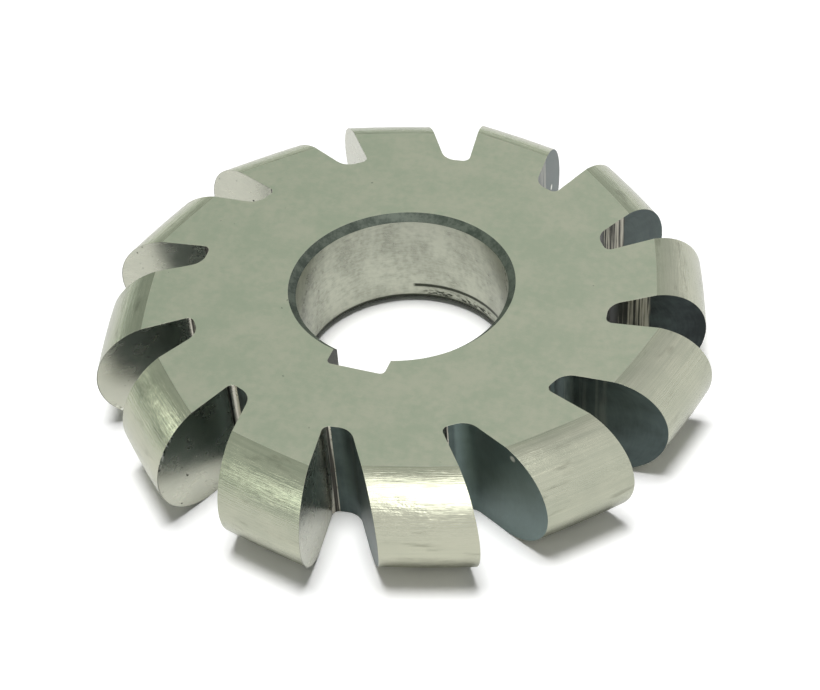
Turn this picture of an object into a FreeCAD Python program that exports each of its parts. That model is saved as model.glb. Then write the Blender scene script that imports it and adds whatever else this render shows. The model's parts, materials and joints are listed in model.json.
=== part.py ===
import FreeCAD, Part
import math
import os

# Convex milling cutter: a one-piece form-relieved disc with twelve half-round teeth.
# The frame has its origin on the bore axis at the lower side face, +Z along the bore,
# and the keyway on the -Y side. Lengths are in millimetres, angles in degrees.

# Driving dimensions
BORE_DIAMETER = 22.0
BORE_CHAMFER = 0.75
OUTSIDE_DIAMETER = 65.0
PROFILE_RADIUS = 6.0
TOOTH_COUNT = 12
# Depth by which each side face is ground past the tangent of the half-round
SIDE_GRIND = 0.05

# Keyway for a drive key, open into the bore
KEY_WIDTH = 6.0
KEY_CLEARANCE = 0.08
KEYWAY_DEPTH = 2.4
KEYWAY_CORNER_RADIUS = 0.5

# Teeth: the rake faces look counterclockwise seen from above
EDGE_FROM_KEYWAY = 2.5
RAKE_ANGLE = 5.0
TOOTH_THICKNESS = 9.2
GASH_FLOOR = 21.5
RAKE_CORNER_RADIUS = 0.7
HEEL_CORNER_RADIUS = 2.0

# Relief: the crest of each land is an arc that falls behind the cutting edge
LAND_ARC_RADIUS = 120.0
RELIEF_DROP = 1.15
RELIEF_SPAN = 20.0

# Spare length and angles by which the working solids pass what they cut or join
OVERRUN = 1.0
BAR_LEAD = 4.0
BAR_OVERLAP = 0.5

OUTSIDE_RADIUS = OUTSIDE_DIAMETER / 2
BORE_RADIUS = BORE_DIAMETER / 2
KEYWAY_FLOOR = BORE_RADIUS + KEYWAY_DEPTH
HALF_WIDTH = PROFILE_RADIUS - SIDE_GRIND
WIDTH = 2 * HALF_WIDTH
PITCH = 360.0 / TOOTH_COUNT
# The heel plane of a tooth is parallel to the radius through its own cutting edge
GASH_ANGLE = PITCH - RAKE_ANGLE
BAR_DEPTH = OUTSIDE_RADIUS - GASH_FLOOR + OVERRUN
BAR_TAIL = PITCH - BAR_LEAD + BAR_OVERLAP
# Radial height of the half-round from its run-out on the side faces to its crest
PROFILE_RISE = PROFILE_RADIUS - math.sqrt(PROFILE_RADIUS**2 - HALF_WIDTH**2)
Z_AXIS = FreeCAD.Vector(0, 0, 1)
CENTRE = FreeCAD.Vector(0, 0, 0)


def polar(radius, degrees, z=0.0):
    """Point at a radius and an angle about the bore axis."""
    angle = math.radians(degrees)
    return FreeCAD.Vector(radius * math.cos(angle), radius * math.sin(angle), z)


def turned(shape, degrees):
    """Copy of a shape turned about the bore axis."""
    copy = shape.copy()
    copy.rotate(CENTRE, Z_AXIS, degrees)
    return copy


def bearing(start, end):
    """Direction from one point to another, in degrees."""
    return math.degrees(math.atan2(end.y - start.y, end.x - start.x))


def relief_centre():
    """Axis of a land's arc, through the cutting edge and the dropped crest behind it."""
    edge = polar(OUTSIDE_RADIUS, 0)
    dropped = polar(OUTSIDE_RADIUS - RELIEF_DROP, -RELIEF_SPAN)
    chord = dropped - edge
    rise = math.sqrt(LAND_ARC_RADIUS**2 - (chord.Length / 2) ** 2)
    inward = FreeCAD.Vector(chord.y, -chord.x, 0).normalize()
    return (edge + dropped) / 2 + inward * rise


def half_round_profile():
    """Section of a tooth, its distances measured from the relief axis."""
    crest = LAND_ARC_RADIUS
    runout = crest - PROFILE_RISE
    inner = crest - BAR_DEPTH
    corners = [(inner, WIDTH), (inner, 0), (runout, 0)]
    points = [FreeCAD.Vector(x, 0, z) for x, z in corners]
    top_runout = FreeCAD.Vector(runout, 0, WIDTH)
    edges = [Part.LineSegment(a, b).toShape() for a, b in zip(points, points[1:])]
    middle = FreeCAD.Vector(crest, 0, HALF_WIDTH)
    edges.append(Part.Arc(points[-1], middle, top_runout).toShape())
    edges.append(Part.LineSegment(top_runout, points[0]).toShape())
    return Part.Face(Part.Wire(edges))


def tooth_bar():
    """Half-round bar of one tooth, swept about the relief axis as far as the next bar."""
    axis_point = relief_centre()
    start = bearing(axis_point, polar(OUTSIDE_RADIUS, BAR_LEAD))
    end = bearing(axis_point, polar(OUTSIDE_RADIUS, -BAR_TAIL))
    bar = half_round_profile().revolve(CENTRE, Z_AXIS, start - end)
    bar = turned(bar, end)
    bar.translate(axis_point)
    return bar


def corner_edge(solid, x, y):
    """Upright edge of a solid over a given point."""
    for edge in solid.Edges:
        low, high = edge.BoundBox.ZMin, edge.BoundBox.ZMax
        at_point = math.hypot(edge.CenterOfMass.x - x, edge.CenterOfMass.y - y) < 1e-6
        if at_point and high - low > WIDTH / 2:
            return edge
    raise ValueError("no upright edge over the point")


def gash():
    """Space before one rake face: a wedge with a flat floor and two unequal corners.

    It is drawn with X along the rake face and turned to its tooth afterwards.
    """
    rake_y = -OUTSIDE_RADIUS * math.sin(math.radians(RAKE_ANGLE))
    slope = math.tan(math.radians(GASH_ANGLE))
    apex_to_axis = TOOTH_THICKNESS / math.sin(math.radians(GASH_ANGLE))
    apex_x = apex_to_axis + rake_y / slope
    floor_y = rake_y + (GASH_FLOOR - apex_x) * slope
    mouth_x = OUTSIDE_RADIUS + OVERRUN
    mouth_y = rake_y + (mouth_x - apex_x) * slope
    outline = [(GASH_FLOOR, rake_y), (mouth_x, rake_y), (mouth_x, mouth_y), (GASH_FLOOR, floor_y)]
    points = [FreeCAD.Vector(x, y, -OVERRUN) for x, y in outline]
    face = Part.Face(Part.makePolygon(points + points[:1]))
    wedge = face.extrude(FreeCAD.Vector(0, 0, WIDTH + 2 * OVERRUN))
    wedge = wedge.makeFillet(RAKE_CORNER_RADIUS, [corner_edge(wedge, GASH_FLOOR, rake_y)])
    wedge = wedge.makeFillet(HEEL_CORNER_RADIUS, [corner_edge(wedge, GASH_FLOOR, floor_y)])
    return turned(wedge, RAKE_ANGLE)


def bore():
    """Through bore with a chamfer at each side face."""
    wall = Part.makeCylinder(BORE_RADIUS, WIDTH + 2 * OVERRUN, FreeCAD.Vector(0, 0, -OVERRUN))
    mouth = BORE_RADIUS + BORE_CHAMFER
    lower = Part.makeCone(mouth, BORE_RADIUS, BORE_CHAMFER, CENTRE, Z_AXIS)
    upper = Part.makeCone(mouth, BORE_RADIUS, BORE_CHAMFER, FreeCAD.Vector(0, 0, WIDTH), -Z_AXIS)
    return wall.fuse([lower, upper])


def keyway():
    """Slot for the drive key, from the bore towards -Y, with eased floor corners."""
    width = KEY_WIDTH + KEY_CLEARANCE
    corner = FreeCAD.Vector(-width / 2, -KEYWAY_FLOOR, -OVERRUN)
    slot = Part.makeBox(width, KEYWAY_FLOOR, WIDTH + 2 * OVERRUN, corner)
    floor_corners = [corner_edge(slot, side * width / 2, -KEYWAY_FLOOR) for side in (-1, 1)]
    return slot.makeFillet(KEYWAY_CORNER_RADIUS, floor_corners)


def cutter():
    """Whole cutter as one solid: hub, toothed rim, gashes, bore and keyway."""
    angles = [-90 + EDGE_FROM_KEYWAY + index * PITCH for index in range(TOOTH_COUNT)]
    hub = Part.makeCylinder(GASH_FLOOR, WIDTH)
    bar = tooth_bar()
    blank = hub.fuse([turned(bar, angle) for angle in angles])
    space = gash()
    toothed = blank.cut([turned(space, angle) for angle in angles])
    return toothed.cut([bore(), keyway()]).removeSplitter()


os.makedirs("parts", exist_ok=True)
cutter().exportStep("parts/cutter.step")
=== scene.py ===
import json
import logging
import math
from dataclasses import dataclass
from enum import Enum
from typing import ClassVar

import bpy
import numpy as np
from mathutils import Matrix, Vector


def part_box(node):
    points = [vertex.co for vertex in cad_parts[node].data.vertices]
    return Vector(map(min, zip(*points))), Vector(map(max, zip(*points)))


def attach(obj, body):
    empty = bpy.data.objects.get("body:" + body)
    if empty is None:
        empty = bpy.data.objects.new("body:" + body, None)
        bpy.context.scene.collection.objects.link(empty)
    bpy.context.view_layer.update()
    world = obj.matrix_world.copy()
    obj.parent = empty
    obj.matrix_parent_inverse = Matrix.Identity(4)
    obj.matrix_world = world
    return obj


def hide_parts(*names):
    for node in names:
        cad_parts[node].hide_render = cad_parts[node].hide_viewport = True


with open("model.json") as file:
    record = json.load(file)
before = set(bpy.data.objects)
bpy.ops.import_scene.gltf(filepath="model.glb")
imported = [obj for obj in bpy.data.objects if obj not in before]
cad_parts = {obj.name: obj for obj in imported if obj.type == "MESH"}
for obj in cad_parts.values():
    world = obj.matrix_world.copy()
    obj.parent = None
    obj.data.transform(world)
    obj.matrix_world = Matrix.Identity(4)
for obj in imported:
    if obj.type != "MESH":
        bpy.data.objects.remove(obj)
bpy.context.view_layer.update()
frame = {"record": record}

# Convex milling cutter lying on a white table. The bore axis is Z and the keyway lies
# towards -Y. Lengths are in metres and angles in degrees, but the finishes measure in
# millimetres.

MM = 0.001
LOG = logging.getLogger("convex_cutter")

Array = np.ndarray
Triple = tuple[float, float, float]
Colour = Triple


def turn_matrix(degrees: Array) -> Array:
    """Give plan rotations about the bore axis.

    Args:
        degrees: Turns, one per matrix.

    Returns:
        Array of shape (turns, 2, 2).
    """
    angle = np.radians(degrees)
    cos, sin = np.cos(angle), np.sin(angle)
    return np.stack([np.stack([cos, -sin], -1), np.stack([sin, cos], -1)], -2)


def unit(degrees: float) -> Array:
    """Give the plan unit vector at an angle."""
    return np.array([math.cos(math.radians(degrees)), math.sin(math.radians(degrees))])


def straight(start: Array, end: Array, count: int) -> Array:
    """Divide straight runs evenly: point = start + share * (end - start), without the end.

    Args:
        start: Starts of the runs, shape (levels, 2).
        end: Ends of the runs, shape (levels, 2).
        count: Points on each run.

    Returns:
        Array of shape (levels, count, 2).
    """
    share = (np.arange(count) / count)[None, :, None]
    return start[:, None] + share * (end - start)[:, None]


def straight_rows(start: Array, end: Array, count: int) -> Array:
    """Lay rows evenly between two loops: row = start + share * (end - start), without the end.

    Args:
        start: First loop, shape (1, points, 2).
        end: Last loop, shape (1, points, 2).
        count: Rows to lay.

    Returns:
        Array of shape (count, points, 2).
    """
    share = (np.arange(count) / count)[:, None, None]
    return start + share * (end - start)


def arc(centre: Array, radius: Array, start: Array, end: Array, count: int) -> Array:
    """Divide arcs evenly: point = centre + radius * (cos angle, sin angle), without the end.

    Args:
        centre: One centre for all arcs.
        radius: Radius of each arc, shape (levels,).
        start: Start angle of each arc in radians, shape (levels,).
        end: End angle of each arc in radians, shape (levels,).
        count: Points on each arc.

    Returns:
        Array of shape (levels, count, 2).
    """
    share = (np.arange(count) / count)[None, :]
    angle = start[:, None] + share * (end - start)[:, None]
    return centre + radius[:, None, None] * np.stack([np.cos(angle), np.sin(angle)], -1)


class Facet(Enum):
    """Kinds of surface on the cutter, each with a finish of its own."""

    SIDE = 0
    LAND = 1
    RAKE = 2
    GASH = 3
    CORNER = 4
    BORE = 5
    CHAMFER = 6
    KEYWAY = 7


@dataclass(frozen=True)
class ToothForm:
    """One form-relieved tooth, drawn with X along the radius through its cutting edge."""

    tip_radius: float = 32.5 * MM
    profile_radius: float = 6.0 * MM
    half_width: float = 5.95 * MM
    rake_angle: float = 5.0
    pitch: float = 30.0
    thickness: float = 9.2 * MM
    gash_floor: float = 21.5 * MM
    rake_corner: float = 0.7 * MM
    heel_corner: float = 2.0 * MM
    land_arc: float = 120.0 * MM
    relief_drop: float = 1.15 * MM
    relief_span: float = 20.0

    # Points on each stretch of the outline: heel corner, heel, land, rake, rake corner, floor
    COUNTS: ClassVar[tuple[int, ...]] = (10, 12, 28, 12, 8, 3)
    FACETS: ClassVar[tuple[Facet, ...]] = (
        Facet.GASH, Facet.GASH, Facet.LAND, Facet.RAKE, Facet.CORNER, Facet.GASH,
    )

    def relief_axis(self) -> Array:
        """Find the axis about which the land is swept.

        Its arc passes through the cutting edge and through the crest that has dropped
        behind it, with its centre on the side of the bore.

        Returns:
            Plan point.
        """
        edge = self.tip_radius * unit(0)
        dropped = (self.tip_radius - self.relief_drop) * unit(-self.relief_span)
        chord = dropped - edge
        length = float(np.hypot(*chord))
        inward = np.array([chord[1], -chord[0]]) / length
        return (edge + dropped) / 2 + inward * math.sqrt(self.land_arc**2 - length**2 / 4)

    def land_span(self) -> float:
        """Measure the half-round from one run-out to the other."""
        return self.profile_radius * (math.pi - 2 * math.acos(self.half_width / self.profile_radius))

    def land_point(self, start: Array, along: Array, radius: Array) -> Array:
        """Meet a straight flank with the land's arcs.

        The distance along the flank solves the circle's quadratic about the relief axis.

        Args:
            start: A point on the flank.
            along: Unit direction of the flank, outwards.
            radius: Radius of each level's arc, shape (levels,).

        Returns:
            Array of shape (levels, 2).
        """
        away = start - self.relief_axis()
        middle = away @ along
        reach = -middle + np.sqrt(middle**2 - away @ away + radius**2)
        return start + reach[:, None] * along

    def outline(self, depth: Array) -> Array:
        """Draw a tooth and the floor ahead of it, counterclockwise, at several levels.

        Args:
            depth: How far the half-round has fallen from its crest at each level.

        Returns:
            Array of shape (levels, points, 2).
        """
        heel_n, back_n, land_n, face_n, rake_n, floor_n = self.COUNTS
        level = np.ones_like(depth)
        radius = self.land_arc - depth
        axis = self.relief_axis()
        rake_offset = self.tip_radius * math.sin(math.radians(self.rake_angle))
        rake_way = unit(self.rake_angle)
        rake_side = unit(self.rake_angle + 90)
        floor_way = unit(self.rake_angle - self.pitch)

        # The heel plane is parallel to the radius through the cutting edge
        corner_y = -self.thickness - self.heel_corner
        corner_x = (self.gash_floor + self.heel_corner - corner_y * floor_way[1]) / floor_way[0]
        heel_centre = np.array([corner_x, corner_y])
        heel_start = heel_centre + np.array([0, self.heel_corner])
        heel_end = self.land_point(heel_start, unit(0), radius)
        floor_angle = math.radians(180 + self.rake_angle - self.pitch)
        heel_turn = (floor_angle * level, np.pi / 2 * level)
        heel_arc = arc(heel_centre, self.heel_corner * level, *heel_turn, heel_n)

        rake_lift = (self.rake_corner - rake_offset) * rake_side
        rake_centre = (self.gash_floor + self.rake_corner) * rake_way + rake_lift
        rake_root = rake_centre - self.rake_corner * rake_side
        rake_end = self.land_point(rake_root, rake_way, radius)
        down = math.radians(self.rake_angle - 90)
        rake_turn = (down * level, (down - np.pi / 2) * level)
        rake_arc = arc(rake_centre, self.rake_corner * level, *rake_turn, rake_n)

        heel_angle = np.arctan2(*(heel_end - axis).T[::-1])
        rake_angle = np.arctan2(*(rake_end - axis).T[::-1])
        floor_start = (rake_centre - self.rake_corner * rake_way) * level[:, None]
        to_next = turn_matrix(np.array([self.pitch]))[0]
        next_corner = to_next @ (heel_centre - self.heel_corner * floor_way)
        return np.concatenate(
            [
                heel_arc,
                straight(heel_start * level[:, None], heel_end, back_n),
                arc(axis, radius, heel_angle, rake_angle, land_n),
                straight(rake_end, rake_root * level[:, None], face_n),
                rake_arc,
                straight(floor_start, next_corner * level[:, None], floor_n),
            ],
            axis=1,
        )


@dataclass(frozen=True)
class KeyedBore:
    """Bore outline with the keyway at -Y, as closed loops at several radii."""

    radius: float
    chamfer: float = 0.75 * MM
    key_half_width: float = 3.04 * MM
    key_floor: float = 13.4 * MM
    key_corner: float = 0.5 * MM

    # Points on each stretch of the keyway: wall, corner, floor, corner, wall
    COUNTS: ClassVar[tuple[int, ...]] = (14, 8, 29, 8, 14)

    def loops(self, radius: Array, count: int) -> Array:
        """Draw the bore counterclockwise from the keyway's right mouth corner.

        The round stretch is an arc of the level's radius between the keyway's walls.

        Args:
            radius: Radius of the round stretch at each level.
            count: Points on each whole loop.

        Returns:
            Array of shape (levels, count, 2).
        """
        half, floor, corner = self.key_half_width, self.key_floor, self.key_corner
        level = np.ones_like(radius)
        inset = np.arcsin(half / radius)
        mouth_y = -np.sqrt(radius**2 - half**2)
        round_count = count - sum(self.COUNTS)
        wall_end = corner - floor
        start, end = -np.pi / 2 + inset, 3 * np.pi / 2 - inset
        left_mouth = np.stack([-half * level, mouth_y], -1)
        right_mouth = np.stack([half * level, mouth_y], -1)
        left_foot = np.array([-half, wall_end]) * level[:, None]
        right_foot = np.array([half, wall_end]) * level[:, None]
        left_centre = np.array([corner - half, wall_end])
        right_centre = np.array([half - corner, wall_end])
        floor_left = np.array([corner - half, -floor]) * level[:, None]
        floor_right = np.array([half - corner, -floor]) * level[:, None]
        quarter = np.pi / 2 * level
        left_n, left_corner_n, floor_n, right_corner_n, right_n = self.COUNTS
        return np.concatenate(
            [
                arc(np.zeros(2), radius, start, end, round_count),
                straight(left_mouth, left_foot, left_n),
                arc(left_centre, corner * level, 2 * quarter, 3 * quarter, left_corner_n),
                straight(floor_left, floor_right, floor_n),
                arc(right_centre, corner * level, -quarter, 0 * quarter, right_corner_n),
                straight(right_foot, right_mouth, right_n),
            ],
            axis=1,
        )


@dataclass(frozen=True)
class CutterBody:
    """The whole cutter as one closed grid, wrapped round the bore axis and round its section."""

    tooth: ToothForm
    bore: KeyedBore
    width: float
    tooth_count: int = 12
    first_edge: float = -87.5
    # Ring between hub and teeth, and how far its points trail the outline's
    ring_inset: float = 1.0 * MM
    ring_lag: float = -29.5
    profile_steps: int = 40
    rim_steps: int = 4
    hub_steps: int = 5
    wall_steps: int = 10
    edge_break: float = 0.02 * MM
    # Angles between faces from which the shading is split and the edge is broken
    split_angle: float = 25.0
    break_angle: float = 30.0
    # Seed of the tones by which the lands differ from tooth to tooth
    tone_seed: int = 12
    # Tooth by tooth, counterclockwise from the keyway: how pale each heel is, a painted shade for how
    # light falls where it faces, and how clearly its root shows the painted reflection stripes
    heel_shades: tuple[float, ...] = (0.5, 0.55, 1.0, 0.42, 0.08, 0.42, 0.58, 0.6, 0.5, 0.4, 0.35, 0.3)
    root_reflections: tuple[float, ...] = (0.0, 0.0, 0.0, 0.12, 0.75, 1.0, 0.5, 0.5, 0.3, 0.2, 0.0, 0.0)

    @property
    def loop_count(self) -> int:
        """Count the points on each loop about the bore axis."""
        return self.tooth_count * sum(self.tooth.COUNTS)

    def land_levels(self) -> tuple[Array, Array]:
        """Divide the half-round evenly by angle: height = middle - R cos, depth = R - R sin.

        Returns:
            Heights above the lower side face, and depths below the crest.
        """
        form = self.tooth
        start = math.acos(form.half_width / form.profile_radius)
        angle = np.linspace(start, np.pi - start, self.profile_steps + 1)
        height = self.width / 2 - form.profile_radius * np.cos(angle)
        return height, form.profile_radius * (1 - np.sin(angle))

    def toothed_loops(self, depth: Array) -> Array:
        """Repeat the tooth outline round the axis by one rotation per tooth.

        Args:
            depth: Depth of the half-round at each level.

        Returns:
            Array of shape (levels, loop_count, 2).
        """
        turns = turn_matrix(self.first_edge + self.tooth.pitch * np.arange(self.tooth_count))
        copies = np.einsum("tab,lpb->ltpa", turns, self.tooth.outline(depth))
        return copies.reshape(len(depth), self.loop_count, 2)

    def ring(self) -> Array:
        """Space the points of the ring between hub and teeth evenly by angle."""
        start = math.radians(self.first_edge + self.ring_lag)
        angle = start + 2 * np.pi * np.arange(self.loop_count) / self.loop_count
        radius = self.tooth.gash_floor - self.ring_inset
        return radius * np.stack([np.cos(angle), np.sin(angle)], -1)

    def bore_shift(self) -> int:
        """Find the bore loop's point that faces the ring's first point."""
        loop = self.bore.loops(np.array([self.bore.radius]), self.loop_count)[0]
        first = self.ring()[0]
        facing = loop @ first / np.hypot(*loop.T)
        return int(facing.argmax())

    def bore_loops(self, radius: Array) -> Array:
        """Draw bore loops whose points face those of the ring."""
        return np.roll(self.bore.loops(radius, self.loop_count), -self.bore_shift(), axis=1)

    def surface(self) -> tuple[Array, Array]:
        """Work out the grid of points and the facet of each cell.

        Rows go up the teeth, inwards over the upper side, down the bore and outwards
        under the lower side, so the last row meets the first. Between two loops a point
        is loop + share * (next loop - loop).

        Returns:
            Points of shape (rows, loop_count, 3) and facet numbers of shape (rows, loop_count).
        """
        height, depth = self.land_levels()
        teeth = self.toothed_loops(depth)
        mouth = self.bore.radius + self.bore.chamfer
        wall_top = self.width - self.bore.chamfer
        wall_height = np.linspace(wall_top, self.bore.chamfer, self.wall_steps + 1)
        wall_radius = np.full(self.wall_steps + 1, self.bore.radius)
        bore_height = np.concatenate([[self.width], wall_height, [0.0]])
        bore = self.bore_loops(np.concatenate([[mouth], wall_radius, [mouth]]))
        ring = self.ring()[None]
        rim = straight_rows(teeth[-1:], ring, self.rim_steps)[1:]
        hub = straight_rows(ring, bore[:1], self.hub_steps)
        side = np.concatenate([rim, hub])
        under = side[::-1]
        plan = np.concatenate([teeth, side, bore, under])
        side_height = np.full(len(side), self.width)
        level = np.concatenate([height, side_height, bore_height, np.zeros(len(under))])
        lift = np.broadcast_to(level[:, None, None], plan.shape[:2] + (1,))
        return np.concatenate([plan, lift], -1), self.facets(len(side))

    def facets(self, side_rows: int) -> Array:
        """Number the facet of each grid cell, named by its first row and point.

        Args:
            side_rows: Rows that lie inside each side face.

        Returns:
            Array of shape (rows, loop_count).
        """
        stretch = [np.full(n, f.value) for n, f in zip(self.tooth.COUNTS, self.tooth.FACETS)]
        around = np.tile(np.concatenate(stretch), self.tooth_count)
        round_count = self.loop_count - sum(self.bore.COUNTS)
        keyed = np.roll(np.arange(self.loop_count) >= round_count, -self.bore_shift())
        wall = np.where(keyed, Facet.KEYWAY.value, Facet.BORE.value)
        bevel = np.where(keyed, Facet.KEYWAY.value, Facet.CHAMFER.value)
        flat = np.full(self.loop_count, Facet.SIDE.value)
        rows = [around] * self.profile_steps + [flat] * (side_rows + 1)
        rows += [bevel] + [wall] * self.wall_steps + [bevel] + [flat] * (side_rows + 1)
        return np.stack(rows)

    def build(self, finishes: dict[Facet, bpy.types.Material]) -> bpy.types.Object:
        """Put the grid into a mesh, with grain coordinates, tooth tones and broken edges.

        Args:
            finishes: The material of each facet.

        Returns:
            The finished piece.
        """
        points, facets = self.surface()
        rows, columns = facets.shape
        row = np.arange(rows)[:, None]
        column = np.arange(columns)[None, :]
        corners = [(row, column), (row, column + 1), (row + 1, column + 1), (row + 1, column)]
        quads = np.stack([(r % rows) * columns + c % columns for r, c in corners], -1).reshape(-1, 4)
        mesh = bpy.data.meshes.new("cutter_body")
        mesh.from_pydata(points.reshape(-1, 3), [], quads)
        for facet in Facet:
            mesh.materials.append(finishes[facet])
        mesh.polygons.foreach_set("material_index", facets.ravel().astype(np.int32))
        self.write_grain(mesh, points)
        tones = np.random.default_rng(self.tone_seed).uniform(0, 1, self.tooth_count)
        self.write_by_tooth(mesh, rows, "tooth_tone", tones)
        self.write_by_tooth(mesh, rows, "heel_shade", np.array(self.heel_shades))
        self.write_by_tooth(mesh, rows, "root_reflection", np.array(self.root_reflections))
        mesh.shade_smooth()
        mesh.set_sharp_from_angle(angle=math.radians(self.split_angle))
        self.sharpen_runout(mesh, rows, columns)
        mesh.validate()
        body = bpy.data.objects.new("cutter_body", mesh)
        bpy.context.scene.collection.objects.link(body)
        bevel = body.modifiers.new("broken_edges", "BEVEL")
        bevel.width = self.edge_break
        bevel.segments = 2
        bevel.limit_method = "ANGLE"
        bevel.angle_limit = math.radians(self.break_angle)
        bevel.use_clamp_overlap = False
        bevel.harden_normals = True
        return body

    def write_grain(self, mesh: bpy.types.Mesh, points: Array) -> None:
        """Store a UV map in millimetres: u along the loops, v along the section.

        Each coordinate is the running length of the grid's steps, its mean taken over
        the other direction, and for u over the rows of the teeth alone.

        Args:
            mesh: The mesh that the grid became.
            points: The grid, shape (rows, columns, 3).
        """
        rows, columns = points.shape[:2]
        toothed = points[: self.profile_steps + 1]
        along = np.linalg.norm(np.roll(toothed, -1, 1) - toothed, axis=2).mean(0)
        across = np.linalg.norm(np.roll(points, -1, 0) - points, axis=2).mean(1)
        u = np.concatenate([[0.0], np.cumsum(along)]) / MM
        v = np.concatenate([[0.0], np.cumsum(across)]) / MM
        row = np.repeat(np.arange(rows), columns)
        column = np.tile(np.arange(columns), rows)
        corner_u = np.stack([u[column], u[column + 1], u[column + 1], u[column]], -1)
        corner_v = np.stack([v[row], v[row], v[row + 1], v[row + 1]], -1)
        layer = mesh.uv_layers.new(name="grain")
        layer.data.foreach_set("uv", np.stack([corner_u, corner_v], -1).ravel().astype(np.float32))

    def write_by_tooth(self, mesh: bpy.types.Mesh, rows: int, name: str, values: Array) -> None:
        """Store one value per tooth on all its points.

        Args:
            mesh: The mesh that the grid became.
            rows: Rows of the grid.
            name: Name of the attribute.
            values: The values, one per tooth.
        """
        loop = np.repeat(values, sum(self.tooth.COUNTS))
        layer = mesh.attributes.new(name, "FLOAT", "POINT")
        layer.data.foreach_set("value", np.tile(loop, rows).astype(np.float32))

    def sharpen_runout(self, mesh: bpy.types.Mesh, rows: int, columns: int) -> None:
        """Mark the crisp lines where the half-round runs out on both side faces.

        Args:
            mesh: The mesh that the grid became.
            rows: Rows of the grid.
            columns: Points on each row.
        """
        ends = np.empty(len(mesh.edges) * 2, np.int32)
        mesh.edges.foreach_get("vertices", ends)
        first, last = ends.reshape(-1, 2).T
        same_row = first // columns == last // columns
        runout = np.isin(first // columns, [0, self.profile_steps])
        sharp = np.zeros(len(mesh.edges), bool)
        layer = mesh.attributes["sharp_edge"]
        layer.data.foreach_get("value", sharp)
        layer.data.foreach_set("value", sharp | (same_row & runout))


class Signal:
    """A node's output that takes part in sums: each operator adds one Math node."""

    def __init__(self, sheet: "Sheet", socket: "bpy.types.NodeSocket | None") -> None:
        """Wrap an output socket of a sheet, or none where the node has no outputs."""
        self.sheet = sheet
        self.socket = socket

    def math(self, operation: str, *others: "Signal | float") -> "Signal":
        """Add one Math node with this signal first."""
        inputs = dict(enumerate((self, *others)))
        return self.sheet.node("ShaderNodeMath", {"operation": operation}, inputs)

    def __add__(self, other: "Signal | float") -> "Signal":
        """Add."""
        return self.math("ADD", other)

    __radd__ = __add__

    def __mul__(self, other: "Signal | float") -> "Signal":
        """Multiply."""
        return self.math("MULTIPLY", other)

    __rmul__ = __mul__

    def __sub__(self, other: "Signal | float") -> "Signal":
        """Subtract."""
        return self.math("SUBTRACT", other)

    def __rsub__(self, other: float) -> "Signal":
        """Subtract this signal from a number."""
        return self.sheet.node("ShaderNodeMath", {"operation": "SUBTRACT"}, {0: other, 1: self})

    def __pow__(self, other: float) -> "Signal":
        """Raise to a power."""
        return self.math("POWER", other)

    def __abs__(self) -> "Signal":
        """Take the size without the sign."""
        return self.math("ABSOLUTE")

    def ramp(self, low: float, high: float) -> "Signal":
        """Rise smoothly from 0 to 1 between two values."""
        settings = {"interpolation_type": "SMOOTHSTEP"}
        inputs = {"Value": self, "From Min": low, "From Max": high}
        return self.sheet.node("ShaderNodeMapRange", settings, inputs)

    def band(self, centre: float, half_width: float) -> "Signal":
        """Rise to 1 inside a band of values and fall to 0 outside it."""
        return 1 - abs(self - centre).ramp(half_width * 0.4, half_width)


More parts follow.
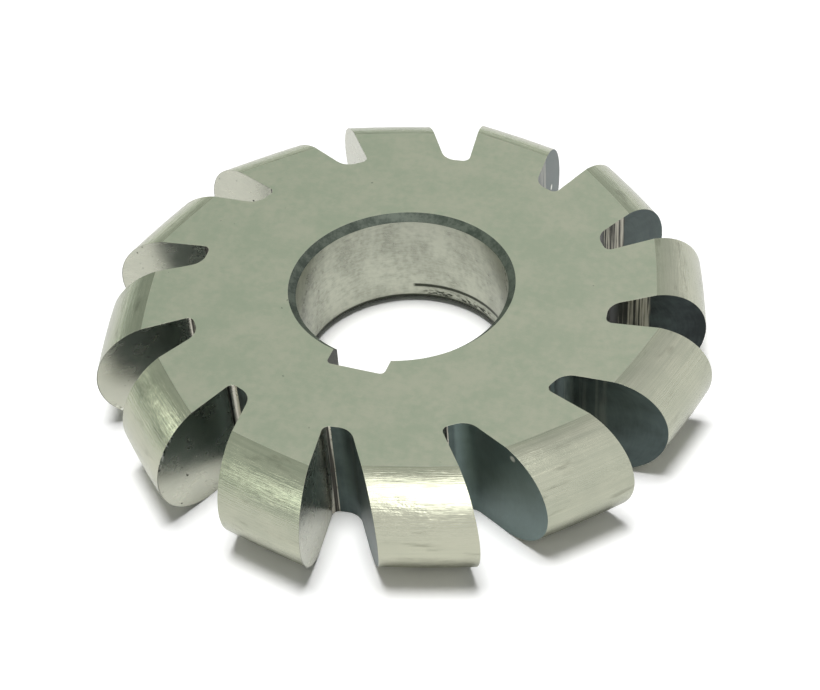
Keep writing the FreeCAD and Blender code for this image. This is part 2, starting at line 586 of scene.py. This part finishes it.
class Sheet:
    """The node tree of one material or world."""

    # Sockets of the Mix node that carry colours: both inputs, and the output
    MIX_FIRST: ClassVar[int] = 6
    MIX_SECOND: ClassVar[int] = 7
    MIX_RESULT: ClassVar[int] = 2

    def __init__(self, tree: bpy.types.NodeTree) -> None:
        """Take over a node tree and empty it."""
        self.tree = tree
        tree.nodes.clear()

    def node(self, kind: str, settings: dict | None = None, inputs: dict | None = None,
             output: int | str = 0) -> Signal:
        """Add a node of any type.

        Args:
            kind: Blender's name for the node type.
            settings: Properties of the node, set first.
            inputs: Values or signals by socket name or number.
            output: The output that is wanted.

        Returns:
            That output as a signal.
        """
        made = self.tree.nodes.new(kind)
        for name, value in (settings or {}).items():
            setattr(made, name, value)
        for name, value in (inputs or {}).items():
            if isinstance(value, Signal):
                self.tree.links.new(value.socket, made.inputs[name])
            else:
                made.inputs[name].default_value = value
        return Signal(self, made.outputs[output] if len(made.outputs) else None)

    def blend(self, factor: Signal, first: "Colour | Signal", second: "Colour | Signal") -> Signal:
        """Mix two colours by a signal."""
        start, end = (c if isinstance(c, Signal) else (*c, 1.0) for c in (first, second))
        inputs = {"Factor": factor, self.MIX_FIRST: start, self.MIX_SECOND: end}
        return self.node("ShaderNodeMix", {"data_type": "RGBA"}, inputs, self.MIX_RESULT)

    def place(self) -> Signal:
        """Give the object's own coordinates in millimetres."""
        spot = self.node("ShaderNodeTexCoord", output="Object")
        return self.stretch(spot, (1 / MM,) * 3)

    def grain(self) -> Signal:
        """Give the grain coordinates: along the cut and across it, in millimetres."""
        return self.node("ShaderNodeUVMap", {"uv_map": "grain"})

    def attribute(self, name: str) -> Signal:
        """Read one of the piece's own attributes."""
        return self.node("ShaderNodeAttribute", {"attribute_name": name}, output="Fac")

    def stretch(self, spot: Signal, factors: Triple) -> Signal:
        """Scale a coordinate along each axis."""
        return self.node("ShaderNodeVectorMath", {"operation": "MULTIPLY"}, {0: spot, 1: factors})

    def axes(self, spot: Signal) -> tuple[Signal, Signal, Signal]:
        """Split a coordinate into its three numbers."""
        parts = self.node("ShaderNodeSeparateXYZ", None, {0: spot})
        outputs = parts.socket.node.outputs
        return Signal(self, outputs[0]), Signal(self, outputs[1]), Signal(self, outputs[2])

    def off_axis(self, spot: Signal) -> Signal:
        """Measure the distance from the bore axis."""
        flat = self.stretch(spot, (1.0, 1.0, 0.0))
        return self.node("ShaderNodeVectorMath", {"operation": "LENGTH"}, {0: flat}, "Value")

    def noise(self, spot: Signal, scale: float, detail: float = 3.0, rough: float = 0.55) -> Signal:
        """Give soft noise from 0 to 1, about scale patches per unit of the coordinate."""
        inputs = {"Vector": spot, "Scale": scale, "Detail": detail, "Roughness": rough}
        return self.node("ShaderNodeTexNoise", None, inputs)

    def around(self, spot: Signal, places: tuple[Triple, ...], size: float) -> Signal:
        """Mask round patches.

        Args:
            spot: The coordinate.
            places: Middles of the patches.
            size: Their radius.

        Returns:
            The mask: 1 near a middle, falling to 0 at the radius.
        """
        mask = None
        settings = {"operation": "DISTANCE"}
        for place in places:
            away = self.node("ShaderNodeVectorMath", settings, {0: spot, 1: place}, "Value")
            patch = away.ramp(size, size * 0.5)
            mask = patch if mask is None else mask.math("MAXIMUM", patch)
        return mask

    def bump(self, height: Signal, strength: float, depth: float,
             under: Signal | None = None) -> Signal:
        """Turn a height from 0 to 1 into a normal.

        Args:
            height: The height signal.
            strength: Share of the bump that shows.
            depth: Depth of the relief in metres.
            under: A bent normal on which this one is laid.

        Returns:
            The bent normal.
        """
        inputs = {"Strength": strength, "Distance": depth, "Height": height}
        if under is not None:
            inputs["Normal"] = under
        return self.node("ShaderNodeBump", None, inputs)

    def steel(self, colour: Signal, rough: Signal, normal: Signal, metallic: float = 1.0) -> None:
        """End the sheet in metal, bare or under a film of scale."""
        inputs = {"Base Color": colour, "Roughness": rough, "Normal": normal, "Metallic": metallic}
        shader = self.node("ShaderNodeBsdfPrincipled", None, inputs)
        self.node("ShaderNodeOutputMaterial", None, {"Surface": shader})


def new_sheet(name: str) -> tuple[bpy.types.Material, Sheet]:
    """Start a node material.

    Args:
        name: Name of the material.

    Returns:
        The material and its empty sheet.
    """
    material = bpy.data.materials.new(name)
    material.use_nodes = True
    return material, Sheet(material.node_tree)


@dataclass(frozen=True)
class GroundSide:
    """Side faces: fine grinding lines under faint greenish and warm clouds."""

    green: Colour = (0.58, 0.62, 0.495)
    warm: Colour = (0.685, 0.68, 0.56)
    speck: Colour = (0.16, 0.17, 0.13)
    roughness: float = 0.34

    def material(self) -> bpy.types.Material:
        """Make the finish."""
        material, sheet = new_sheet("ground_side")
        spot = sheet.place()
        cloud = sheet.noise(spot, 0.16, 5.0, 0.65)
        mottle = sheet.noise(spot, 1.2, 4.0, 0.65)
        lines = sheet.noise(sheet.stretch(spot, (0.25, 9.0, 1.0)), 1.0, 2.0)
        tone = (cloud * 0.55 + mottle * 0.35 + lines * 0.1).ramp(0.38, 0.62)
        specks = sheet.noise(spot, 1.5, 1.0).ramp(0.79, 0.82) * 0.5
        colour = sheet.blend(specks, sheet.blend(tone, self.green, self.warm), self.speck)
        rough = self.roughness + (mottle - 0.5) * 0.12 + (lines - 0.5) * 0.08
        normal = sheet.bump(lines * 0.6 + mottle * 0.4, 0.12, 0.01 * MM)
        sheet.steel(colour, rough, normal)
        return material


@dataclass(frozen=True)
class RelievedLand:
    """Relieved lands: warm pale steel, drawn out in fine lines along the cut."""

    # Length of the half-round, from one side face to the other
    span: float
    light: Colour = (0.54, 0.545, 0.43)
    dark: Colour = (0.42, 0.44, 0.345)
    # Dark colour of the smears and of the darkening beside each side face, which is partly a stain and
    # partly painted shade
    stain_and_shade: Colour = (0.20, 0.205, 0.15)
    roughness: float = 0.20
    # Width of the ragged darkening beside each side face, partly a stain and partly painted shade
    stain_and_shade_width: float = 2.4
    # Place and half width of the fine dark line that runs beside each side face
    line_place: float = 1.1
    line_half: float = 0.22
    # The one patch where the grinding rippled
    ripple_place: Triple = (10.8, -29.2, 8.6)
    ripple_size: float = 4.0

    def material(self) -> bpy.types.Material:
        """Make the finish."""
        material, sheet = new_sheet("relieved_land")
        grain = sheet.grain()
        lines = sheet.noise(sheet.stretch(grain, (0.10, 4.0, 1.0)), 1.0, 4.0)
        fine = sheet.noise(sheet.stretch(grain, (0.4, 14.0, 1.0)), 1.0, 2.0)
        cloud = sheet.noise(grain, 0.30, 4.0)
        tooth = sheet.attribute("tooth_tone")
        tone = (lines * 0.45 + cloud * 0.35 + tooth * 0.2).ramp(0.28, 0.68)
        colour = sheet.blend(tone, self.dark, self.light)
        across = sheet.axes(grain)[1]
        from_side = across.math("MINIMUM", self.span - across)
        ragged = sheet.noise(sheet.stretch(grain, (0.12, 1.3, 1.0)), 1.0, 4.0, 0.65).ramp(0.38, 0.60)
        # Beside each side face the land is painted darker: partly a stain, partly painted shade for the
        # darker reflection there
        stained_and_shaded = from_side.ramp(self.stain_and_shade_width, 0.0) * ragged * 0.8
        colour = sheet.blend(stained_and_shaded, colour, self.stain_and_shade)
        wavy = from_side + (cloud - 0.5) * 0.5
        colour = sheet.blend(wavy.band(self.line_place, self.line_half) * 0.7, colour, self.stain_and_shade)
        smear = sheet.noise(sheet.stretch(grain, (0.22, 0.9, 1.0)), 1.0, 4.0).ramp(0.55, 0.74) * 0.5
        colour = sheet.blend(smear, colour, self.stain_and_shade)
        rough = self.roughness + (cloud - 0.5) * 0.2 + (lines - 0.5) * 0.16
        ripple = sheet.noise(sheet.stretch(grain, (1.1, 1.5, 1.0)), 1.0, 2.0)
        patch = sheet.around(sheet.place(), (self.ripple_place,), self.ripple_size)
        chatter = sheet.bump(ripple * (patch * 0.8 + 0.2), 1.0, 0.07 * MM)
        normal = sheet.bump(lines * 0.5 + fine * 0.5, 1.0, 0.045 * MM, chatter)
        sheet.steel(colour, rough, normal)
        return material


@dataclass(frozen=True)
class RakeFace:
    """Cutting faces: smooth ground steel with a dark rim, a few pits, and chips at the edge painted
    bright as glints.
    """

    tooth: ToothForm
    light: Colour = (0.58, 0.585, 0.49)
    dark: Colour = (0.50, 0.51, 0.43)
    pit: Colour = (0.05, 0.05, 0.04)
    # Colour of the chips at the edge, painted bright: a painted glint
    chip_glint: Colour = (0.80, 0.81, 0.74)
    roughness: float = 0.26
    rim_width: float = 0.13
    # Middles of the two chipped lengths of edge, their radius, and how far in the chips reach
    chip_places: tuple[Triple, ...] = ((-14.5, -27.9, 9.5), (-25.0, -16.0, 1.2))
    chip_span: float = 2.6
    chip_reach: float = 0.5

    def to_edge(self, sheet: Sheet) -> Signal:
        """Measure the distance to the half-round outline, in millimetres.

        It is the profile radius less the distance from the middle line of the profile.

        Args:
            sheet: The sheet that it belongs to.

        Returns:
            The distance.
        """
        form = self.tooth
        spot = sheet.place()
        middle = (form.tip_radius - form.profile_radius) / MM
        reach = (sheet.off_axis(spot) - middle).math("MAXIMUM", 0.0)
        rise = sheet.axes(spot)[2] - form.half_width / MM
        return form.profile_radius / MM - (reach * reach + rise * rise) ** 0.5

    def material(self) -> bpy.types.Material:
        """Make the finish."""
        material, sheet = new_sheet("rake_face")
        grain = sheet.grain()
        spot = sheet.place()
        cloud = sheet.noise(grain, 0.5, 3.0)
        lines = sheet.noise(sheet.stretch(grain, (1.0, 9.0, 1.0)), 0.8, 3.0)
        pits = sheet.noise(spot, 2.3, 1.0).ramp(0.73, 0.77)
        depth = self.to_edge(sheet)
        rim = depth.ramp(self.rim_width, self.rim_width * 0.3) * 0.8
        edge = depth.ramp(self.chip_reach, self.chip_reach * 0.5)
        worn = sheet.around(spot, self.chip_places, self.chip_span) * edge
        chipped = sheet.noise(spot, 2.4, 2.0)
        chips = worn * chipped.ramp(0.55, 0.60)
        gouge = worn * chipped.ramp(0.45, 0.40)
        colour = sheet.blend((cloud * 0.5 + lines * 0.5).ramp(0.3, 0.7), self.dark, self.light)
        colour = sheet.blend(rim.math("MAXIMUM", pits).math("MAXIMUM", gouge), colour, self.pit)
        # The chips are painted bright, a painted glint where they catch the light
        colour = sheet.blend(chips, colour, self.chip_glint)
        rough = self.roughness + (cloud - 0.5) * 0.16 + chips * 0.2
        normal = sheet.bump(lines * 0.7 + cloud * 0.3, 0.15, 0.02 * MM)
        sheet.steel(colour, rough, normal)
        return material


@dataclass(frozen=True)
class GashWall:
    """Heels and floors of the gashes: slate scale, painted darker or paler tooth by tooth as shade, with
    painted reflection stripes near some roots and two burrs painted bright as glints.
    """

    light: Colour = (0.18, 0.245, 0.232)
    dark: Colour = (0.012, 0.018, 0.018)
    # Light and dark of the stripes near the roots: painted reflections of the concave corners
    bare: Colour = (0.50, 0.48, 0.40)
    reflection_dark: Colour = (0.025, 0.025, 0.02)
    burr_glint: Colour = (0.85, 0.85, 0.78)
    roughness: float = 0.38
    metallic: float = 0.7
    # Distances from the axis: where the painted reflection stripes end, and where light ones gain on
    # dark ones
    reflection_reach: float = 25.6
    reflection_middle: float = 24.2
    # Middles and radius of the two burrs, painted bright as glints
    burr_places: tuple[Triple, ...] = ((8.05, 26.58, 6.33), (18.29, -19.89, 10.97))
    burr_size: float = 0.42

    def material(self) -> bpy.types.Material:
        """Make the finish."""
        material, sheet = new_sheet("gash_wall")
        grain = sheet.grain()
        spot = sheet.place()
        radius = sheet.off_axis(spot)
        cloud = sheet.noise(grain, 0.35, 3.0)
        fine = sheet.noise(sheet.stretch(grain, (4.0, 0.6, 1.0)), 1.0, 3.0)
        # The heel tone is painted shade: each heel darker or paler by how light falls where it faces
        scale = sheet.attribute("heel_shade") * 0.8 + (cloud - 0.5) * 0.5 + (fine - 0.5) * 0.2
        colour = sheet.blend(scale, self.dark, self.light)
        # Near some roots light and dark stripes are painted: painted reflections in the concave corners
        stripes = sheet.noise(sheet.stretch(spot, (2.4, 2.4, 0.07)), 1.0, 4.0, 0.65)
        outer = radius + (cloud - 0.5) * 0.4
        zone = outer.ramp(self.reflection_reach, self.reflection_reach - 0.35) * sheet.attribute("root_reflection")
        stripe_level = stripes + (radius - self.reflection_middle) * 0.05
        striped = sheet.blend(stripe_level.ramp(0.44, 0.58), self.reflection_dark, self.bare)
        colour = sheet.blend(zone, colour, striped)
        # The two burrs are painted bright, a painted glint
        colour = sheet.blend(sheet.around(spot, self.burr_places, self.burr_size), colour, self.burr_glint)
        rough = self.roughness + (cloud - 0.5) * 0.14 - zone * 0.08
        normal = sheet.bump(fine * 0.6 + stripes * zone * 0.4, 0.25, 0.02 * MM)
        sheet.steel(colour, rough, normal, self.metallic)
        return material


@dataclass(frozen=True)
class RakeCorner:
    """Corners at the foot of the rake faces: a bright line beside a dark one, painted highlight beside
    painted shade.
    """

    light: Colour = (0.56, 0.54, 0.46)
    dark: Colour = (0.06, 0.058, 0.05)
    roughness: float = 0.28

    def material(self) -> bpy.types.Material:
        """Make the finish."""
        material, sheet = new_sheet("rake_corner")
        spot = sheet.place()
        stripes = sheet.noise(sheet.stretch(spot, (3.0, 3.0, 0.05)), 1.0, 2.0).ramp(0.40, 0.50)
        patchiness = sheet.noise(spot, 1.5, 3.0)
        # The light stripes are a painted highlight along the corner, and the dark between them is
        # painted shade
        colour = sheet.blend(stripes * patchiness.ramp(0.15, 0.45), self.dark, self.light)
        rough = self.roughness + (1 - stripes) * 0.14 + (patchiness - 0.5) * 0.1
        normal = sheet.bump(stripes * 0.7 + patchiness * 0.3, 0.25, 0.02 * MM)
        sheet.steel(colour, rough, normal)
        return material


@dataclass(frozen=True)
class BoreWall:
    """Bore wall: pale ground steel with soft patches, scored rings and a dark lower edge that is painted
    shade.
    """

    chamfer: float
    light: Colour = (0.48, 0.495, 0.41)
    dark: Colour = (0.30, 0.31, 0.255)
    # Dark of the scored rings, and of the painted shade at the wall's foot
    score_and_shade: Colour = (0.045, 0.05, 0.038)
    roughness: float = 0.30
    # Heights of the scored rings and half of their width
    upper_ring: float = 2.3
    lower_ring: float = 1.35
    ring_half: float = 0.30
    # Middle and half of the angle that the rings span
    ring_middle: float = 76.0
    ring_reach: float = 31.0

    def scores(self, sheet: Sheet) -> Signal:
        """Mask the scored rings: bands of height within a span of angle about the axis.

        Args:
            sheet: The sheet that they belong to.

        Returns:
            The mask.
        """
        spot = sheet.place()
        x, y, z = sheet.axes(spot)
        off_middle = abs(y.math("ARCTAN2", x) - math.radians(self.ring_middle))
        reach = math.radians(self.ring_reach)
        upper_span = off_middle.ramp(reach, reach * 0.93)
        lower_span = off_middle.ramp(reach * 0.95, reach * 0.6)
        blotch = sheet.noise(sheet.stretch(spot, (1.0, 1.0, 2.5)), 1.6, 3.0)
        wavy = z + (blotch - 0.5) * 0.12
        upper = wavy.band(self.upper_ring, self.ring_half) * upper_span
        lower = wavy.band(self.lower_ring, self.ring_half * 1.4) * lower_span * blotch.ramp(0.42, 0.58)
        below = z.ramp(self.upper_ring, self.lower_ring)
        smudge = below * lower_span * blotch.ramp(0.42, 0.62) * 0.85
        return upper.math("MAXIMUM", lower.math("MAXIMUM", smudge))

    def material(self) -> bpy.types.Material:
        """Make the finish."""
        material, sheet = new_sheet("bore_wall")
        spot = sheet.place()
        height = sheet.axes(spot)[2]
        cloud = sheet.noise(sheet.stretch(spot, (1.0, 1.0, 0.6)), 0.30, 5.0)
        mottle = sheet.noise(spot, 1.6, 3.0)
        fine = sheet.noise(sheet.stretch(spot, (1.0, 1.0, 7.0)), 1.0, 3.0)
        tone = (cloud * 0.5 + mottle * 0.3 + fine * 0.2).ramp(0.36, 0.62)
        colour = sheet.blend(tone, self.dark, self.light)
        # The foot of the wall is painted dark: painted shade where the wall meets the table
        foot = height.ramp(self.chamfer + 0.36, self.chamfer + 0.2)
        marks_and_shade = self.scores(sheet).math("MAXIMUM", foot)
        colour = sheet.blend(marks_and_shade, colour, self.score_and_shade)
        rough = self.roughness + (cloud - 0.5) * 0.16 + (mottle - 0.5) * 0.14
        normal = sheet.bump(fine * 0.5 + mottle * 0.2 + (1 - marks_and_shade) * 0.3, 0.25, 0.015 * MM)
        sheet.steel(colour, rough, normal)
        return material


@dataclass(frozen=True)
class DarkScale:
    """Surfaces left dark by hardening: the bore's chamfers and the keyway."""

    name: str
    light: Colour
    dark: Colour
    roughness: float = 0.46
    metallic: float = 0.4

    def material(self) -> bpy.types.Material:
        """Make the finish."""
        material, sheet = new_sheet(self.name)
        spot = sheet.place()
        patch = sheet.noise(spot, 0.7, 4.0)
        grit = sheet.noise(spot, 4.0, 2.0)
        colour = sheet.blend((patch * 0.7 + grit * 0.3).ramp(0.38, 0.62), self.dark, self.light)
        rough = self.roughness + (patch - 0.5) * 0.2
        normal = sheet.bump(patch * 0.5 + grit * 0.5, 0.4, 0.04 * MM)
        sheet.steel(colour, rough, normal, self.metallic)
        return material


def facet_finishes(tooth: ToothForm, bore: KeyedBore) -> dict[Facet, bpy.types.Material]:
    """Make the material of each facet.

    Args:
        tooth: Sizes of the teeth.
        bore: Sizes of the bore.

    Returns:
        The materials by facet.
    """
    chamfer = DarkScale("bore_chamfer", light=(0.115, 0.138, 0.11), dark=(0.045, 0.06, 0.046))
    keyway = DarkScale("keyway_wall", light=(0.08, 0.085, 0.065), dark=(0.03, 0.034, 0.026))
    return {
        Facet.SIDE: GroundSide().material(),
        Facet.LAND: RelievedLand(span=tooth.land_span() / MM).material(),
        Facet.RAKE: RakeFace(tooth).material(),
        Facet.GASH: GashWall().material(),
        Facet.CORNER: RakeCorner().material(),
        Facet.BORE: BoreWall(chamfer=bore.chamfer / MM).material(),
        Facet.CHAMFER: chamfer.material(),
        Facet.KEYWAY: keyway.material(),
    }


# Tints of the lamps
WHITE: Colour = (1.0, 1.0, 1.0)
CREAM: Colour = (1.0, 1.0, 0.98)
PALE_GREEN: Colour = (0.94, 1.0, 0.88)


@dataclass(frozen=True)
class SoftLamp:
    """A distant lamp, round as it is seen from the cutter.

    It stands at an azimuth and an elevation, its spread is the angle that it fills, and
    its strength is the light that it sheds on a surface facing it. It either shows in
    the metal, or else lights the table and the scale.
    """

    name: str
    azimuth: float
    elevation: float
    spread: float
    strength: float
    colour: Colour = WHITE
    mirrored: bool = True

    def build(self) -> None:
        """Hang the lamp."""
        data = bpy.data.lights.new(self.name, "SUN")
        data.angle = math.radians(self.spread)
        data.energy = self.strength
        data.color = self.colour
        lamp = bpy.data.objects.new(self.name, data)
        elevation = math.radians(self.elevation)
        plan = unit(self.azimuth) * math.cos(elevation)
        way = Vector((plan[0], plan[1], math.sin(elevation)))
        lamp.rotation_euler = (-way).to_track_quat("-Z", "Y").to_euler()
        lamp.visible_glossy = self.mirrored
        lamp.visible_diffuse = not self.mirrored
        bpy.context.scene.collection.objects.link(lamp)


@dataclass(frozen=True)
class Studio:
    """White table, soft lights and a pale sky."""

    table_half: float = 1.5
    table_gap: float = 0.02 * MM
    # Tone of the table as a lamp finds it, as metal mirrors it and as the camera sees it
    table_tone: float = 0.80
    table_mirrored: float = 0.95
    table_seen: float = 1.16
    # Strength of the sky as light and as metal mirrors it, and how much more it has
    # towards its bright side
    sky_diffuse: float = 0.18
    sky_mirrored: float = 0.72
    sky_slope: float = 0.34
    bright_side: float = -20.0
    # Faint tint of the darker side of the sky in the metal
    far_tint: Colour = (0.91, 1.0, 0.90)
    # The key lamp makes the shadows on the table. The others are what the metal shows:
    # the white streak on the front tooth and soft patches on the teeth to its left.
    lamps: tuple[SoftLamp, ...] = (
        SoftLamp("key_lamp", azimuth=140, elevation=88, spread=24, strength=2.7, mirrored=False),
        SoftLamp("front_lamp", azimuth=293, elevation=72, spread=40, strength=0.75, colour=CREAM),
        SoftLamp("low_front_lamp", azimuth=293, elevation=52, spread=26, strength=0.3, colour=CREAM),
        SoftLamp("left_lamp", azimuth=230, elevation=40, spread=22, strength=0.17, colour=PALE_GREEN),
        SoftLamp("far_left_lamp", azimuth=180, elevation=37, spread=18, strength=0.2, colour=PALE_GREEN),
    )

    def table(self) -> None:
        """Lay the table: pale and matt, lifted to white where it is seen or mirrored."""
        half, low = self.table_half, -self.table_gap
        corners = [(-half, -half, low), (half, -half, low), (half, half, low), (-half, half, low)]
        mesh = bpy.data.meshes.new("table_top")
        mesh.from_pydata(corners, [], [(0, 1, 2, 3)])
        material, sheet = new_sheet("white_table")
        camera, mirror = self.watchers(sheet)
        tone = self.table_tone + mirror * (self.table_mirrored - self.table_tone)
        tone = tone + camera * (self.table_seen - self.table_tone)
        matt = sheet.node("ShaderNodeBsdfDiffuse", None, {"Color": tone})
        sheet.node("ShaderNodeOutputMaterial", None, {"Surface": matt})
        mesh.materials.append(material)
        table = bpy.data.objects.new("table_top", mesh)
        bpy.context.scene.collection.objects.link(table)

    def watchers(self, sheet: Sheet) -> tuple[Signal, Signal]:
        """Mark the camera's rays, and the rays from mirror-like or clear surfaces."""
        path = sheet.node("ShaderNodeLightPath").socket.node
        camera, glossy, clear = (
            Signal(sheet, path.outputs[name])
            for name in ("Is Camera Ray", "Is Glossy Ray", "Is Transmission Ray")
        )
        return camera, glossy.math("MAXIMUM", clear)

    def sky(self) -> None:
        """Hang a pale sky: white to the camera, and in metal white low down, brighter at one side."""
        world = bpy.data.worlds.new("studio_sky")
        world.use_nodes = True
        sheet = Sheet(world.node_tree)
        camera, mirror = self.watchers(sheet)
        x, y, z = sheet.axes(sheet.node("ShaderNodeTexCoord", output="Generated"))
        cos, sin = (float(v) for v in unit(self.bright_side))
        toward = x * cos + y * sin
        tone = self.sky_mirrored + toward * self.sky_slope
        low = abs(z).ramp(0.30, 0.05)
        white = camera.math("MAXIMUM", mirror * low)
        seen = camera.math("MAXIMUM", mirror)
        shown = tone + white * (1 - tone)
        strength = self.sky_diffuse + seen * (shown - self.sky_diffuse)
        colour = sheet.blend(toward.ramp(0.1, -0.6) * mirror, WHITE, self.far_tint)
        light = sheet.node("ShaderNodeBackground", None, {"Color": colour, "Strength": strength})
        sheet.node("ShaderNodeOutputWorld", None, {"Surface": light})
        bpy.context.scene.world = world

    def build(self) -> None:
        """Set the table, the sky, the lamps and the view transform."""
        self.table()
        self.sky()
        for lamp in self.lamps:
            lamp.build()
        bpy.context.scene.view_settings.view_transform = "Standard"


@dataclass(frozen=True)
class PhotoCamera:
    """The photograph's camera, fitted to the cutter's outlines."""

    place: Triple = (0.058127, -0.136306, 0.137441)
    azimuth: float = 22.949
    elevation: float = 42.164
    roll: float = -4.483
    # Focal length and sensor width in millimetres, and the nearest distance seen
    lens: float = 82.721
    sensor: float = 36.0
    near: float = 0.01

    def build(self) -> None:
        """Aim the camera: azimuth about Z, then elevation, then roll about the line of sight."""
        azimuth, elevation, roll = (math.radians(a) for a in (self.azimuth, self.elevation, self.roll))
        level = Matrix.Rotation(azimuth, 3, "Z") @ Matrix.Rotation(math.pi / 2 - elevation, 3, "X")
        turned = level @ Matrix.Rotation(roll, 3, "Z")
        data = bpy.data.cameras.new("photo_camera")
        data.sensor_fit = "HORIZONTAL"
        data.sensor_width = self.sensor
        data.lens = self.lens
        data.clip_start = self.near
        camera = bpy.data.objects.new("photo_camera", data)
        camera.matrix_world = Matrix.Translation(self.place) @ turned.to_4x4()
        bpy.context.scene.collection.objects.link(camera)
        bpy.context.scene.camera = camera


def cutter_from_frame() -> CutterBody:
    """Size the cutter by the frame: its width from the node's box, its bore from the mount."""
    low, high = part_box("cutter")
    mounts = {mount["name"]: mount for mount in frame["record"]["mounts"]}
    bore_radius = mounts["bore"]["dims"]["r_mm"] * MM
    return CutterBody(tooth=ToothForm(), bore=KeyedBore(radius=bore_radius), width=high.z - low.z)


def main() -> None:
    """Build the cutter, dress it and set up the studio."""
    logging.basicConfig(level=logging.INFO, format="%(name)s: %(message)s")
    cutter = cutter_from_frame()
    body = cutter.build(facet_finishes(cutter.tooth, cutter.bore))
    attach(body, "root")
    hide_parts("cutter")
    LOG.info("%s: %d faces", body.name, len(body.data.polygons))
    Studio().build()
    PhotoCamera().build()
    LOG.info("studio and camera set")


if __name__ == "__main__":
    main()
